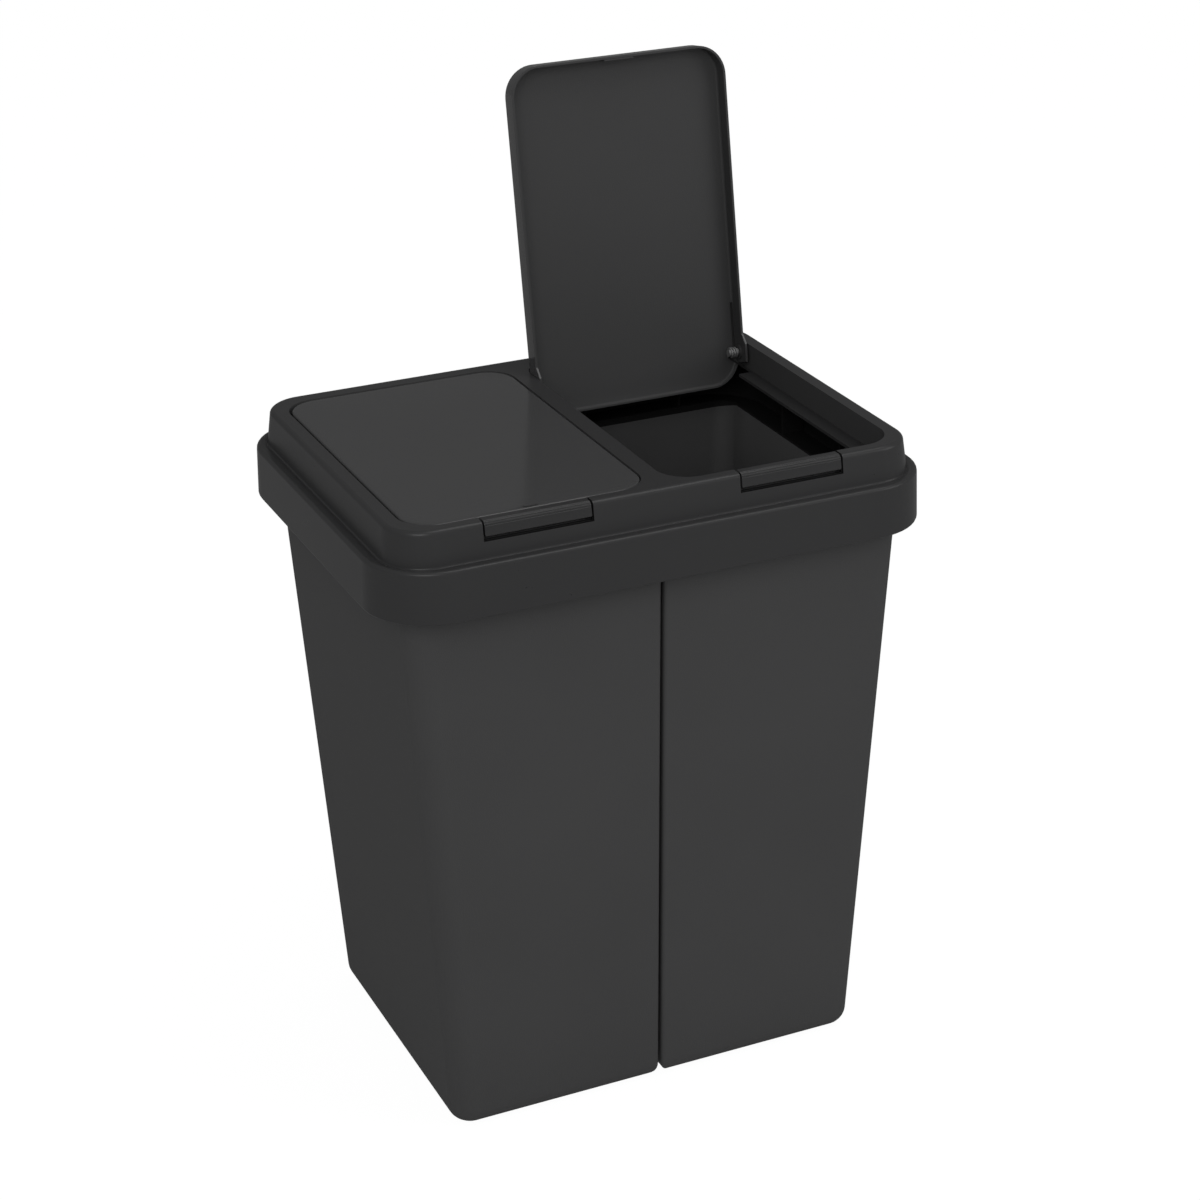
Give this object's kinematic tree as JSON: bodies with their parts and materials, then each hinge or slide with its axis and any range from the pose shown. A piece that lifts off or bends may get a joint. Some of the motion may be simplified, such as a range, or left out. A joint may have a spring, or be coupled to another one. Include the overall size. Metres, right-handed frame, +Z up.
{
  "type": "double recycling bin",
  "caption": "Double waste bin of two tapered plastic buckets standing side by side under one shared cover, with a sprung push-latched lid over each bucket.",
  "frame": {"origin": "on the floor under the middle of the cover, at the bottom centre of the bounding box", "axes": "+X along the front to the right, +Y to the back, +Z up"},
  "size_m": [0.456, 0.344, 0.7764],
  "materials": {
    "bin_plastic": "anthracite polypropylene with a fine matt grain",
    "cover_plastic": "anthracite polypropylene, satin",
    "lid_plastic": "anthracite polypropylene, smooth and glossy on top, matt inside",
    "button_plastic": "anthracite polypropylene, satin, with fine grip grooves",
    "pin_steel": "plain drawn steel",
    "spring_steel": "oiled spring wire"
  },
  "bodies": {
    "bins": {"left_bin": "bin_plastic", "right_bin": "bin_plastic"},
    "cover": {"cover_frame": "cover_plastic", "left_outer_hinge_pin": "pin_steel", "centre_hinge_pin": "pin_steel", "right_outer_hinge_pin": "pin_steel", "left_lid_spring": "spring_steel", "right_lid_spring": "spring_steel", "left_button_spring": "spring_steel", "right_button_spring": "spring_steel"},
    "left_lid": {"left_lid": "lid_plastic"},
    "right_lid": {"right_lid": "lid_plastic"},
    "left_button": {"left_latch_button": "button_plastic"},
    "right_button": {"right_latch_button": "button_plastic"}
  },
  "joints": [
    {"name": "cover_lift", "type": "slide", "parent": "bins", "child": "cover", "axis": [0, 0, 1], "range_m": [0, 0.07]},
    {"name": "left_lid_hinge", "type": "hinge", "parent": "cover", "child": "left_lid", "pos_m": [-0.1035, 0.112, 0.521], "axis": [-1, 0, 0], "range_deg": [0, 99], "deforming": ["left_lid_spring"]},
    {"name": "right_lid_hinge", "type": "hinge", "parent": "cover", "child": "right_lid", "pos_m": [0.1035, 0.112, 0.521], "axis": [-1, 0, 0], "range_deg": [-99, 0], "deforming": ["right_lid_spring"]},
    {"name": "left_button_press", "type": "hinge", "parent": "cover", "child": "left_button", "pos_m": [-0.1035, -0.1501, 0.5146], "axis": [1, 0, 0], "range_deg": [0, 8], "stiffness_Nm_per_rad": 0.3, "deforming": ["left_button_spring"]},
    {"name": "right_button_press", "type": "hinge", "parent": "cover", "child": "right_button", "pos_m": [0.1035, -0.1501, 0.5146], "axis": [1, 0, 0], "range_deg": [0, 8], "stiffness_Nm_per_rad": 0.3, "deforming": ["right_button_spring"]}
  ]
}
